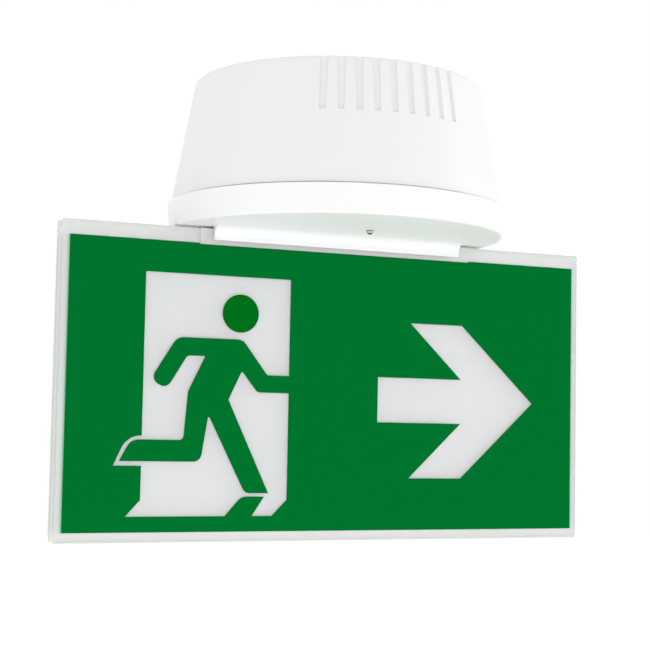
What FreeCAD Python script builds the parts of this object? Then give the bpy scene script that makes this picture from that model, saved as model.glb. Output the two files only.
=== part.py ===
import FreeCAD, Part
import math
import os

from FreeCAD import Vector

# Emergency exit light: a round ceiling housing that carries an edge-lit double-sided
# sign blade.  Millimetres.  The origin is the centre of the face that meets the ceiling,
# +Z is up, the blade runs along X and its front face looks along -Y.

# ---------------------------------------------------------------- general clearances
SLIDE_CLEARANCE = 0.3        # between moulded pieces that slide together
HOLE_CLEARANCE = 0.25        # round a screw in a through hole
THREAD_CLEARANCE = 0.05      # round a screw in its thread or pilot hole

# ---------------------------------------------------------------- housing
BODY_HEIGHT = 82.0           # ceiling to the flat underside
COVER_HEIGHT = 15.2          # band of the lower cover
HOUSING_TOP_RADIUS = 79.2
HOUSING_BASE_RADIUS = 90.9
HOUSING_WALL = 2.5
HOUSING_EDGE_ROUND = 1.2     # outer edge at the ceiling
SEAM_GAP = 0.6               # shadow line between the housing and the cover
SPIGOT_DEPTH = 6.0           # reach of the housing inside the cover
SPIGOT_WALL = 2.0
LEDGE_THICKNESS = 2.5        # inner ring that the cover's hooks catch
LEDGE_WIDTH = 6.9            # in from the housing's base radius
FLANGE_THICKNESS = 2.5       # inner ring that meets the mounting plate's pillars
FLANGE_MARGIN = 4.5          # in from the pillars' circle

GROOVE_COUNT = 9
GROOVE_PITCH_ANGLE = 6.4
GROOVE_GROUP_ANGLE = -2.7    # middle of the group, from the front towards +X
GROOVE_TOP_WIDTH, GROOVE_FOOT_WIDTH = 4.4, 3.4    # at the ceiling and at the lower end
GROOVE_DEPTH = 1.4
GROOVE_LENGTH = 28.4

# ---------------------------------------------------------------- lower cover
COVER_STEP = 1.9             # how far the band stands out past the housing
COVER_DRAFT = 0.8            # how much the band narrows down to its rim
COVER_WALL = 2.5
COVER_FLOOR = 2.5
COVER_RIM_ROUND = 1.2
COVER_TOP_ROUND = 0.4
HOOK_COUNT = 4
HOOK_WIDTH = 10.0
HOOK_THICKNESS = 2.0
HOOK_CATCH = 1.6             # reach of the tooth over the ledge
HOOK_TOOTH_HEIGHT = 3.5
HOOK_FIRST_ANGLE = 45.0

BAR_LENGTH = 145.7           # the two cheeks that grip the blade
BAR_WIDTH = 17.2
BAR_HEIGHT = 7.2
BAR_ROOT_ROUND = 5.5         # soft fillet into the underside
BAR_EDGE_ROUND = 0.5

RIB_THICKNESS = 2.5          # inner ribs that hold the blade's tongue
RIB_HEIGHT = 8.0
RIB_END_BLOCK = 7.0

# ---------------------------------------------------------------- blade
FILM_WIDTH = 299.0
FILM_HEIGHT = 152.1
FILM_THICKNESS = 0.3
SIDE_BORDER = 4.5
TOP_BORDER = 7.9
BOTTOM_BORDER = 5.5
DIFFUSER_THICKNESS = 0.5
GUIDE_THICKNESS = 4.4
DIFFUSER_CLEARANCE = 0.05    # air between the diffuser and the clear sheet
FACE_THICKNESS = 2.95        # clear sheet that carries each film on its outer face
SPLIT_GAP = 0.1              # between the two clear halves
BLADE_TOP_GAP = 1.2          # blade's shoulders to the underside
BLADE_CHAMFER = 0.8
BLADE_CORNER_ROUND = 1.5
POCKET_CLEARANCE = 0.3
TAPE_THICKNESS = 0.25        # reflecting tape on the guide's edges
COLLAR_OVERHANG = 7.3        # raised lip that meets the bar, past the bar's end
COLLAR_RISE = 0.8
COLLAR_DROP = 0.6            # how far the lip dips into the film
TONGUE_SHOULDER = 7.5        # bar's end to the tongue
TONGUE_HEIGHT = 6.8          # above the cover's floor
TONGUE_CLEARANCE = 0.2
TONGUE_SCREW_INSET = 10.0
TONGUE_ROOT_ROUND = 0.2

# ---------------------------------------------------------------- legend
# All legend places are measured right and up from the film's lower left corner.
DOOR_LEFT, DOOR_RIGHT = 40.4, 121.5
DOOR_FOOT, DOOR_TOP = 8.1, 135.3
DOOR_FOOT_HEIGHT = 8.5       # slanted lower corners
DOOR_SPLAY = 7.8
SHIN_FOOT, SHIN_TOP = 34.2, 49.8
SHIN_TIP, SHIN_SHOULDER = 25.5, 32.8    # white outline round the trailing foot
SHIN_ROUND = 11.2
HEAD_CENTRE = (93.1, 115.6)
HEAD_RADIUS = 10.2
ARROW_TIP_INSET = 26.1       # from the film's right edge
ARROW_LENGTH = 98.6
ARROW_NECK = 51.8            # tail to where the shaft meets the head
ARROW_BACK = 19.6            # tail to the head's barbs
ARROW_BARB = 32.7            # level edge of the head above and below its barbs
ARROW_MIDDLE = 71.8
ARROW_SHAFT_HALF = 12.5
ARROW_HEAD_HALF = 43.3
FIGURE_OVERLAP = 3.0         # how far the figure runs into the green field at the side
FOOT_OVERLAP = 2.0           # and at the foot

# Outline of the running figure: right, up, corner radius.
FIGURE = [
    (58.3, 101.7, 6.5), (94.6, 101.7, 6.0), (108.9, 83.1, 1.5), (DOOR_RIGHT + FIGURE_OVERLAP, 83.1, 0),
    (DOOR_RIGHT + FIGURE_OVERLAP, 73.8, 0), (103.4, 73.8, 4.0), (94.5, 85.0, 0.6), (87.2, 69.5, 0.8),
    (110.8, 20.2, 0), (97.5, 20.2, 4.5), (76.3, 61.4, 0.6), (72.4, 36.6, 4.5), (28.7, 36.6, 0),
    (34.8, 47.8, 7.0), (62.8, 47.8, 2.5), (64.8, 73.4, 6.0), (73.9, 92.2, 0.5), (64.0, 92.2, 3.0),
    (53.0, 74.2, 4.4), (44.3, 79.2, 4.4),
]
# The leading foot, which stands on the lower green edge.
FOOT = [
    (84.7, DOOR_FOOT - FOOT_OVERLAP, 0), (95.8, 18.4, 6.0), (108.5, 18.4, 0),
    (100.4, DOOR_FOOT - FOOT_OVERLAP, 0),
]

# ---------------------------------------------------------------- mounting plate
PLATE_CLEARANCE = 0.5        # plate's edge to the housing's inner wall
PLATE_THICKNESS = 1.5
SLOT_SPACING = 100.0         # ceiling screw slots, centre to centre
SLOT_LENGTH = 12.0
SLOT_WIDTH = 4.8
PILLAR_HEIGHT = 4.5
PILLAR_RADIUS = 3.2
PILLAR_INSET = 5.7           # plate's edge to the pillars' circle
PILLAR_COUNT = 3
PILLAR_FIRST_ANGLE = 90.0
ENTRY_RADIUS = 10.0          # hole for the grommet
GROMMET_BORE_RADIUS = 5.0
GROMMET_FLANGE_RADIUS = 13.0
GROMMET_NECK_RADIUS, GROMMET_LIP_RADIUS = 8.5, 7.0
GROMMET_FLANGE_THICKNESS = 2.0
GROMMET_LENGTH = 6.0

# ---------------------------------------------------------------- screws
# Each is shank radius, head radius, head height.
HOUSING_SCREW = (2.0, 3.6, 2.2)
HOUSING_SCREW_REACH = 5.6
SMALL_SCREW = (1.5, 2.9, 1.8)
TRAY_SCREW_REACH = 9.0
SCREW_RUN_OUT = 1.0          # depth of a blind hole past its screw
BOARD_SCREW_REACH = 4.8
RAIL_SCREW = (1.2, 2.3, 1.5)
RAIL_SCREW_REACH = 7.0
NUT_ACROSS_FLATS = 5.5
NUT_THICKNESS = 2.3
SCREW_END = 0.5              # screw past its nut

# ---------------------------------------------------------------- gear tray and what it carries
TRAY_THICKNESS = 2.0
TRAY_MARGIN = 5.0            # bosses' circle to the tray's edge
TRAY_LEVEL = 20.0            # ceiling to the tray's upper face
TRAY_BOSS_RADIUS = 4.0
TRAY_BOSS_INSET = 8.2        # housing's top radius to the bosses' circle
TRAY_BOSS_FIRST_ANGLE = 30.0
DRIVER_HOLE_RADIUS = 5.0     # access to the housing screws
BOARD_LENGTH, BOARD_WIDTH, BOARD_THICKNESS = 110.0, 42.0, 1.6
BOARD_CENTRE_Y = 29.0
BOARD_POST_HEIGHT = 4.0
BOARD_POST_RADIUS = 3.0
BOARD_SCREW_INSET = 4.5
CELL_DIAMETER, CELL_LENGTH, CELL_COUNT = 26.0, 50.0, 3
BATTERY_CENTRE_Y = -31.0
STRAP_WIDTH, STRAP_THICKNESS = 6.0, 1.2
STRAP_SPACING = 28.0
STRAP_CLEARANCE = 0.15
TERMINAL_POLES = 4
TERMINAL_PITCH = 9.5
TERMINAL_DEPTH, TERMINAL_HEIGHT = 16.0, 13.0
TERMINAL_CENTRE_Y = 40.0
TERMINAL_WIRE_RADIUS, TERMINAL_WIRE_DEPTH, TERMINAL_WIRE_LEVEL = 1.9, 5.0, 5.9
TERMINAL_SCREW_RADIUS = 1.7
TERMINAL_SCREW_SINK, TERMINAL_WELL_DEPTH = 1.5, 4.0
DRIVER_SLOT_WIDTH, DRIVER_SLOT_DEPTH = 0.7, 0.8

TRANSFORMER_CENTRE_X = -30.0
TRANSFORMER_CORE = (26.0, 22.0, 16.0)
TRANSFORMER_BOBBIN = (18.0, 28.0, 11.0)
TRANSFORMER_STANDOFF = 2.5   # bobbin pins lift the core off the board
CAPACITORS = [(-5.0, 36.0, 5.0, 16.0), (9.0, 34.0, 6.0, 18.0), (-3.0, 20.0, 4.0, 11.0)]
CONNECTORS = [(38.0, 42.0, 15.0, 8.0, 9.0), (40.0, 15.0, 10.0, 6.0, 7.0), (22.0, 14.0, 8.0, 6.0, 7.0)]
FUSE_CENTRE = (31.0, 28.0)
FUSE_LENGTH, FUSE_RADIUS = 20.0, 2.6
FUSE_CLIP_LENGTH, FUSE_CLIP_WIDTH, FUSE_CLIP_HEIGHT = 5.0, 6.4, 6.0

# ---------------------------------------------------------------- lighting
LED_COUNT = 12
LED_PITCH = 10.4
LED_SIZE = 2.8
LED_HEIGHT = 0.8
LED_BOARD_THICKNESS = 1.0
RAIL_WEB, RAIL_LEG = 1.5, 1.0
RAIL_EDGE_ROUND = 0.4
RAIL_LEG_DROP = 1.4          # below the board
STATUS_PLACE = (5.2, -35.0)
STATUS_RADIUS = 2.0
STATUS_PROUD = 2.2
STATUS_FLANGE_RADIUS = 2.4
STATUS_FLANGE_THICKNESS = 1.0
STATUS_LEAD = 0.5
STATUS_LEAD_SPACING = 2.54
HOLDER_RADIUS = 4.6
HOLDER_HEIGHT = 4.2
INDICATOR_BOARD = (14.0, 11.0, 1.6)

# ---------------------------------------------------------------- worked-out sizes and levels
COVER_TOP_RADIUS = HOUSING_BASE_RADIUS + COVER_STEP
COVER_RIM_RADIUS = COVER_TOP_RADIUS - COVER_DRAFT
LEDGE_INNER_RADIUS = HOUSING_BASE_RADIUS - LEDGE_WIDTH
PLATE_RADIUS = HOUSING_TOP_RADIUS - HOUSING_WALL - PLATE_CLEARANCE
PILLAR_CIRCLE_RADIUS = PLATE_RADIUS - PILLAR_INSET
FLANGE_INNER_RADIUS = PILLAR_CIRCLE_RADIUS - FLANGE_MARGIN
TRAY_BOSS_CIRCLE_RADIUS = HOUSING_TOP_RADIUS - TRAY_BOSS_INSET
TRAY_RADIUS = TRAY_BOSS_CIRCLE_RADIUS + TRAY_MARGIN
COLLAR_LENGTH = BAR_LENGTH + 2 * COLLAR_OVERHANG
TONGUE_LENGTH = BAR_LENGTH - 2 * TONGUE_SHOULDER
RIM_Z = -BODY_HEIGHT
SEAM_Z = RIM_Z + COVER_HEIGHT
FLOOR_Z = RIM_Z + COVER_FLOOR
HOUSING_FOOT_Z = SEAM_Z + SEAM_GAP
FLANGE_TOP_Z = -PLATE_THICKNESS - PILLAR_HEIGHT
FLANGE_FOOT_Z = FLANGE_TOP_Z - FLANGE_THICKNESS
TRAY_TOP_Z = -TRAY_LEVEL
TRAY_FOOT_Z = TRAY_TOP_Z - TRAY_THICKNESS
BOARD_TOP_Z = TRAY_FOOT_Z - BOARD_POST_HEIGHT
BOARD_FOOT_Z = BOARD_TOP_Z - BOARD_THICKNESS
BLADE_TOP_Z = RIM_Z - BLADE_TOP_GAP
FILM_TOP_Z = BLADE_TOP_Z - TOP_BORDER
FILM_FOOT_Z = FILM_TOP_Z - FILM_HEIGHT
BLADE_FOOT_Z = FILM_FOOT_Z - BOTTOM_BORDER
TONGUE_TOP_Z = FLOOR_Z + TONGUE_HEIGHT
RIB_TOP_Z = FLOOR_Z + RIB_HEIGHT
GUIDE_HALF = GUIDE_THICKNESS / 2
POCKET_FLOOR_Y = -(GUIDE_HALF + DIFFUSER_THICKNESS + DIFFUSER_CLEARANCE)
BLADE_FRONT_Y = POCKET_FLOOR_Y - FACE_THICKNESS
FILM_FRONT_Y = BLADE_FRONT_Y - FILM_THICKNESS
BLADE_HALF_LENGTH = FILM_WIDTH / 2 + SIDE_BORDER
TONGUE_GAP_HALF = GUIDE_HALF + TONGUE_CLEARANCE
RIB_OUTER_Y = TONGUE_GAP_HALF + RIB_THICKNESS
TONGUE_SCREW_X = TONGUE_LENGTH / 2 - TONGUE_SCREW_INSET
TONGUE_SCREW_Z = FLOOR_Z + SMALL_SCREW[1] + SLIDE_CLEARANCE
RAIL_LENGTH = TONGUE_LENGTH + 2 * RIB_END_BLOCK
RAIL_SCREW_X = (TONGUE_LENGTH + RIB_END_BLOCK) / 2
LED_BOARD_TOP_Z = RIB_TOP_Z + LED_BOARD_THICKNESS


# ---------------------------------------------------------------- helpers
def box(x0, x1, y0, y1, z0, z1):
    return Part.makeBox(x1 - x0, y1 - y0, z1 - z0, Vector(x0, y0, z0))


def centred_box(length, width, x, y, z0, z1):
    return box(x - length / 2, x + length / 2, y - width / 2, y + width / 2, z0, z1)


def rod(radius, z0, z1, x=0.0, y=0.0):
    return Part.makeCylinder(radius, z1 - z0, Vector(x, y, z0))


def ring(outer, inner, z0, z1, x=0.0, y=0.0):
    return rod(outer, z0, z1, x, y).cut(rod(inner, z0, z1, x, y))


def polar(radius, angle):
    """X and Y of a place on a circle."""
    return radius * math.cos(math.radians(angle)), radius * math.sin(math.radians(angle))


def circle_places(count, radius, first_angle):
    return [polar(radius, first_angle + 360.0 / count * index) for index in range(count)]


def outline(corners, place):
    """Closed wire through corners (a, b) or (a, b, radius); place turns a, b into a Vector."""
    points = [place(corner[0], corner[1]) for corner in corners]
    stretches = []
    for index, corner in enumerate(corners):
        here = points[index]
        radius = corner[2] if len(corner) > 2 else 0
        if not radius:
            stretches.append((here, None, here))
            continue
        back = (points[index - 1] - here).normalize()
        ahead = (points[(index + 1) % len(points)] - here).normalize()
        half_angle = back.getAngle(ahead) / 2
        middle = (back + ahead).normalize()
        reach = radius / math.tan(half_angle)
        rise = radius / math.sin(half_angle) - radius
        stretches.append((here + back * reach, here + middle * rise, here + ahead * reach))
    edges = []
    for index, (start, middle, end) in enumerate(stretches):
        if middle:
            edges.append(Part.Arc(start, middle, end).toShape())
        following = stretches[(index + 1) % len(stretches)][0]
        if (following - end).Length > 1e-4:
            edges.append(Part.makeLine(end, following))
    return Part.Wire(edges)


def prism(corners, place, direction):
    return Part.Face(outline(corners, place)).extrude(direction)


def turned(corners, angle=360.0):
    """Solid of revolution about Z of an outline of (radius, height) corners."""
    face = Part.Face(outline(corners, lambda radius, height: Vector(radius, 0, height)))
    return face.revolve(Vector(0, 0, 0), Vector(0, 0, 1), angle)


def rotated(shape, angle):
    return shape.rotated(Vector(0, 0, 0), Vector(0, 0, 1), angle)


def mirrored_to_back(shape):
    return shape.mirror(Vector(0, 0, 0), Vector(0, 1, 0))


def joined(shapes):
    return shapes[0].fuse(list(shapes[1:])).removeSplitter()


def hanging_screw(sizes, reach, x, y, z):
    """Screw with its head's upper face at z, head below and shank above."""
    shank_radius, head_radius, head_height = sizes
    head = rod(head_radius, z - head_height, z, x, y)
    return head.fuse(rod(shank_radius, z, z + reach, x, y))


def housing_radius(z):
    """Outer radius of the housing's slanted wall at height z."""
    share = z / HOUSING_FOOT_Z
    return HOUSING_TOP_RADIUS + (HOUSING_BASE_RADIUS - HOUSING_TOP_RADIUS) * share


def cover_bore_radius(z):
    """Inner radius of the lower cover's band at height z."""
    share = (SEAM_Z - z) / (SEAM_Z - FLOOR_Z)
    return COVER_TOP_RADIUS - COVER_WALL + (COVER_RIM_RADIUS - COVER_TOP_RADIUS) * share


def on_film(right, up):
    """Place on the front film's plane, from its lower left corner."""
    return Vector(right - FILM_WIDTH / 2, FILM_FRONT_Y, FILM_FOOT_Z + up)


# ---------------------------------------------------------------- mounting plate and ceiling side
PILLARS = circle_places(PILLAR_COUNT, PILLAR_CIRCLE_RADIUS, PILLAR_FIRST_ANGLE)
TRAY_BOSSES = circle_places(PILLAR_COUNT, TRAY_BOSS_CIRCLE_RADIUS, TRAY_BOSS_FIRST_ANGLE)


def screw_slot(x):
    half_web = (SLOT_LENGTH - SLOT_WIDTH) / 2
    ends = [rod(SLOT_WIDTH / 2, -PLATE_THICKNESS, 0, x + side * half_web, 0) for side in (-1, 1)]
    return joined([centred_box(2 * half_web, SLOT_WIDTH, x, 0, -PLATE_THICKNESS, 0)] + ends)


def mounting_plate():
    plate = rod(PLATE_RADIUS, -PLATE_THICKNESS, 0)
    plate = plate.cut([screw_slot(side * SLOT_SPACING / 2) for side in (-1, 1)])
    plate = plate.cut(rod(ENTRY_RADIUS, -PLATE_THICKNESS, 0))
    pillars = [rod(PILLAR_RADIUS, FLANGE_TOP_Z, -PLATE_THICKNESS, x, y) for x, y in PILLARS]
    plate = joined([plate] + pillars)
    thread = HOUSING_SCREW[0] + THREAD_CLEARANCE
    return plate.cut([rod(thread, FLANGE_TOP_Z, 0, x, y) for x, y in PILLARS])


def cable_grommet():
    flange_foot = -PLATE_THICKNESS - GROMMET_FLANGE_THICKNESS
    return turned([
        (GROMMET_BORE_RADIUS, 0), (ENTRY_RADIUS, 0), (ENTRY_RADIUS, -PLATE_THICKNESS),
        (GROMMET_FLANGE_RADIUS, -PLATE_THICKNESS), (GROMMET_FLANGE_RADIUS, flange_foot),
        (GROMMET_NECK_RADIUS, flange_foot), (GROMMET_LIP_RADIUS, -GROMMET_LENGTH),
        (GROMMET_BORE_RADIUS, -GROMMET_LENGTH),
    ])


def terminal_places():
    first = -(TERMINAL_POLES - 1) / 2 * TERMINAL_PITCH
    return [first + TERMINAL_PITCH * index for index in range(TERMINAL_POLES)]


def terminal_block():
    top, foot = -PLATE_THICKNESS, -PLATE_THICKNESS - TERMINAL_HEIGHT
    length = TERMINAL_POLES * TERMINAL_PITCH
    block = centred_box(length, TERMINAL_DEPTH, 0, TERMINAL_CENTRE_Y, foot, top)
    wells, wires = [], []
    for x in terminal_places():
        well_radius = TERMINAL_SCREW_RADIUS + THREAD_CLEARANCE
        wells.append(rod(well_radius, foot, foot + TERMINAL_WELL_DEPTH, x, TERMINAL_CENTRE_Y))
        start = Vector(x, TERMINAL_CENTRE_Y - TERMINAL_DEPTH / 2, top - TERMINAL_WIRE_LEVEL)
        wires.append(Part.makeCylinder(TERMINAL_WIRE_RADIUS, TERMINAL_WIRE_DEPTH, start, Vector(0, 1, 0)))
    return block.cut(wells + wires)


def terminal_screws():
    foot = -PLATE_THICKNESS - TERMINAL_HEIGHT
    screws = []
    for x in terminal_places():
        head = foot + TERMINAL_SCREW_SINK
        screw = rod(TERMINAL_SCREW_RADIUS, head, foot + TERMINAL_WELL_DEPTH, x, TERMINAL_CENTRE_Y)
        slot = centred_box(4 * TERMINAL_SCREW_RADIUS, DRIVER_SLOT_WIDTH, x, TERMINAL_CENTRE_Y,
                           head, head + DRIVER_SLOT_DEPTH)
        screws.append(screw.cut(slot))
    return screws


# ---------------------------------------------------------------- housing
def groove(angle):
    """Cutter of one vertical groove: its floor is parallel to the slanted wall, its sides draw in."""
    top, foot = SLIDE_CLEARANCE, -GROOVE_LENGTH
    floor = [(housing_radius(height) - GROOVE_DEPTH, height) for height in (foot, top)]
    outside = [(housing_radius(height) + GROOVE_DEPTH, height) for height in (top, foot)]
    slab = prism(floor + outside, lambda out, height: Vector(-GROOVE_TOP_WIDTH, -out, height),
                 Vector(2 * GROOVE_TOP_WIDTH, 0, 0))
    sides = [(-GROOVE_FOOT_WIDTH / 2, foot), (GROOVE_FOOT_WIDTH / 2, foot), (GROOVE_TOP_WIDTH / 2, top),
             (-GROOVE_TOP_WIDTH / 2, top)]
    wedge = prism(sides, lambda across, height: Vector(across, 0, height), Vector(0, -BODY_HEIGHT * 2, 0))
    return rotated(slab.common(wedge), angle)


def housing_shell():
    spigot_foot = SEAM_Z - SPIGOT_DEPTH
    spigot = cover_bore_radius(spigot_foot) - SLIDE_CLEARANCE
    ledge_top = SEAM_Z + LEDGE_THICKNESS
    shell = turned([
        (HOUSING_TOP_RADIUS, 0, HOUSING_EDGE_ROUND), (HOUSING_BASE_RADIUS, HOUSING_FOOT_Z),
        (spigot, HOUSING_FOOT_Z), (spigot, spigot_foot), (spigot - SPIGOT_WALL, spigot_foot),
        (spigot - SPIGOT_WALL, SEAM_Z), (LEDGE_INNER_RADIUS, SEAM_Z), (LEDGE_INNER_RADIUS, ledge_top),
        (housing_radius(ledge_top) - HOUSING_WALL, ledge_top),
        (housing_radius(FLANGE_FOOT_Z) - HOUSING_WALL, FLANGE_FOOT_Z),
        (FLANGE_INNER_RADIUS, FLANGE_FOOT_Z), (FLANGE_INNER_RADIUS, FLANGE_TOP_Z),
        (housing_radius(FLANGE_TOP_Z) - HOUSING_WALL, FLANGE_TOP_Z),
        (HOUSING_TOP_RADIUS - HOUSING_WALL, 0),
    ])
    middle = (GROOVE_COUNT - 1) / 2
    angles = [GROOVE_GROUP_ANGLE + (index - middle) * GROOVE_PITCH_ANGLE for index in range(GROOVE_COUNT)]
    shell = shell.cut([groove(angle) for angle in angles])
    bosses = [rod(TRAY_BOSS_RADIUS, TRAY_TOP_Z, FLANGE_FOOT_Z, x, y) for x, y in TRAY_BOSSES]
    shell = joined([shell] + bosses)
    clear = HOUSING_SCREW[0] + HOLE_CLEARANCE
    thread = SMALL_SCREW[0] + THREAD_CLEARANCE
    holes = [rod(clear, FLANGE_FOOT_Z, FLANGE_TOP_Z, x, y) for x, y in PILLARS]
    thread_end = TRAY_FOOT_Z + TRAY_SCREW_REACH + SCREW_RUN_OUT
    threads = [rod(thread, TRAY_TOP_Z, thread_end, x, y) for x, y in TRAY_BOSSES]
    return shell.cut(holes + threads)


def housing_screws():
    return [hanging_screw(HOUSING_SCREW, HOUSING_SCREW_REACH, x, y, FLANGE_FOOT_Z) for x, y in PILLARS]


# ---------------------------------------------------------------- lower cover
def snap_hook():
    """One hook on +X; its tooth lies over the housing's ledge."""
    outer = LEDGE_INNER_RADIUS - 2 * SLIDE_CLEARANCE
    inner = outer - HOOK_THICKNESS
    catch_z = SEAM_Z + LEDGE_THICKNESS + SLIDE_CLEARANCE
    top = catch_z + HOOK_TOOTH_HEIGHT
    corners = [(inner, FLOOR_Z), (outer, FLOOR_Z), (outer, catch_z), (outer + HOOK_CATCH, catch_z),
               (outer, top), (inner, top)]
    return prism(corners, lambda out, height: Vector(out, -HOOK_WIDTH / 2, height), Vector(0, HOOK_WIDTH, 0))


def bar():
    """The straight bar under the cover, with a soft fillet up into the underside."""
    half, reach = BAR_WIDTH / 2, BAR_WIDTH / 2 + BAR_ROOT_ROUND
    sunk, foot = RIM_Z + COVER_FLOOR / 2, RIM_Z - BAR_HEIGHT
    corners = [(-reach, sunk), (reach, sunk), (reach, RIM_Z), (half, RIM_Z, BAR_ROOT_ROUND),
               (half, foot, BAR_EDGE_ROUND), (-half, foot, BAR_EDGE_ROUND), (-half, RIM_Z, BAR_ROOT_ROUND),
               (-reach, RIM_Z)]
    return prism(corners, lambda out, height: Vector(-BAR_LENGTH / 2, out, height), Vector(BAR_LENGTH, 0, 0))


def tongue_screw_holes():
    """Clearance for the two cross screws, through both ribs and the tongue."""
    radius = SMALL_SCREW[0] + HOLE_CLEARANCE
    holes = []
    for side in (-1, 1):
        start = Vector(side * TONGUE_SCREW_X, -RIB_OUTER_Y, TONGUE_SCREW_Z)
        holes.append(Part.makeCylinder(radius, 2 * RIB_OUTER_Y, start, Vector(0, 1, 0)))
    return holes


def lower_cover():
    dish = turned([
        (0, RIM_Z), (COVER_RIM_RADIUS, RIM_Z, COVER_RIM_ROUND), (COVER_TOP_RADIUS, SEAM_Z, COVER_TOP_ROUND),
        (COVER_TOP_RADIUS - COVER_WALL, SEAM_Z), (COVER_RIM_RADIUS - COVER_WALL, FLOOR_Z), (0, FLOOR_Z),
    ])
    hook = snap_hook()
    hooks = [rotated(hook, HOOK_FIRST_ANGLE + 360.0 / HOOK_COUNT * index) for index in range(HOOK_COUNT)]
    rib_block = centred_box(RAIL_LENGTH, 2 * RIB_OUTER_Y, 0, 0, FLOOR_Z, RIB_TOP_Z)
    cover = joined([dish, bar(), rib_block] + hooks)
    grip_half = -BLADE_FRONT_Y + COLLAR_RISE + SLIDE_CLEARANCE
    grip = centred_box(BAR_LENGTH, 2 * grip_half, 0, 0, RIM_Z - BAR_HEIGHT, RIM_Z)
    slot_length = TONGUE_LENGTH + 2 * SLIDE_CLEARANCE
    slot = centred_box(slot_length, 2 * TONGUE_GAP_HALF, 0, 0, RIM_Z, RIB_TOP_Z)
    screw_holes = tongue_screw_holes()
    pilot = RAIL_SCREW[0] + THREAD_CLEARANCE
    pilots = [rod(pilot, FLOOR_Z, RIB_TOP_Z, side * RAIL_SCREW_X, 0) for side in (-1, 1)]
    status_hole = rod(STATUS_RADIUS + SLIDE_CLEARANCE / 2, RIM_Z, FLOOR_Z, *STATUS_PLACE)
    return cover.cut([grip, slot, status_hole] + screw_holes + pilots)


# ---------------------------------------------------------------- blade
def clear_tray():
    """Front half of the clear case: a face sheet with a wall round the diffuser's pocket."""
    length = BLADE_HALF_LENGTH
    plate = prism([(-length, BLADE_FOOT_Z, BLADE_CORNER_ROUND), (length, BLADE_FOOT_Z, BLADE_CORNER_ROUND),
                   (length, BLADE_TOP_Z, BLADE_CORNER_ROUND), (-length, BLADE_TOP_Z, BLADE_CORNER_ROUND)],
                  lambda x, z: Vector(x, BLADE_FRONT_Y, z), Vector(0, -BLADE_FRONT_Y - SPLIT_GAP / 2, 0))
    front_edges = [edge for edge in plate.Edges if edge.BoundBox.YMax < BLADE_FRONT_Y + 1e-6]
    plate = plate.makeChamfer(BLADE_CHAMFER, front_edges)
    collar = box(-COLLAR_LENGTH / 2, COLLAR_LENGTH / 2, BLADE_FRONT_Y - COLLAR_RISE,
                 BLADE_FRONT_Y + BLADE_CHAMFER, FILM_TOP_Z - COLLAR_DROP, BLADE_TOP_Z)
    half_pocket = FILM_WIDTH / 2 + POCKET_CLEARANCE
    pocket = box(-half_pocket, half_pocket, POCKET_FLOOR_Y, 0,
                 FILM_FOOT_Z - POCKET_CLEARANCE, FILM_TOP_Z + POCKET_CLEARANCE)
    half_mouth = TONGUE_LENGTH / 2 + SLIDE_CLEARANCE
    mouth = box(-half_mouth, half_mouth, -TONGUE_GAP_HALF, 0, FILM_TOP_Z, BLADE_TOP_Z)
    return joined([plate, collar]).cut([pocket, mouth])


def light_guide():
    half, tongue = FILM_WIDTH / 2, TONGUE_LENGTH / 2
    corners = [(-half, FILM_FOOT_Z), (half, FILM_FOOT_Z), (half, FILM_TOP_Z),
               (tongue, FILM_TOP_Z, TONGUE_ROOT_ROUND), (tongue, TONGUE_TOP_Z), (-tongue, TONGUE_TOP_Z),
               (-tongue, FILM_TOP_Z, TONGUE_ROOT_ROUND), (-half, FILM_TOP_Z)]
    guide = prism(corners, lambda x, z: Vector(x, -GUIDE_HALF, z), Vector(0, GUIDE_THICKNESS, 0))
    return guide.cut(tongue_screw_holes())


def edge_tape():
    """Reflecting tape on the guide's two ends and its lower edge."""
    half = FILM_WIDTH / 2
    outside = box(-half - TAPE_THICKNESS, half + TAPE_THICKNESS, -GUIDE_HALF, GUIDE_HALF,
                  FILM_FOOT_Z - TAPE_THICKNESS, FILM_TOP_Z)
    return outside.cut(box(-half, half, -GUIDE_HALF, GUIDE_HALF, FILM_FOOT_Z, FILM_TOP_Z))


def front_diffuser():
    half = FILM_WIDTH / 2
    front = -GUIDE_HALF - DIFFUSER_THICKNESS
    return box(-half, half, front, -GUIDE_HALF, FILM_FOOT_Z, FILM_TOP_Z)


def film_piece(corners):
    return prism(corners, on_film, Vector(0, FILM_THICKNESS, 0))


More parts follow.
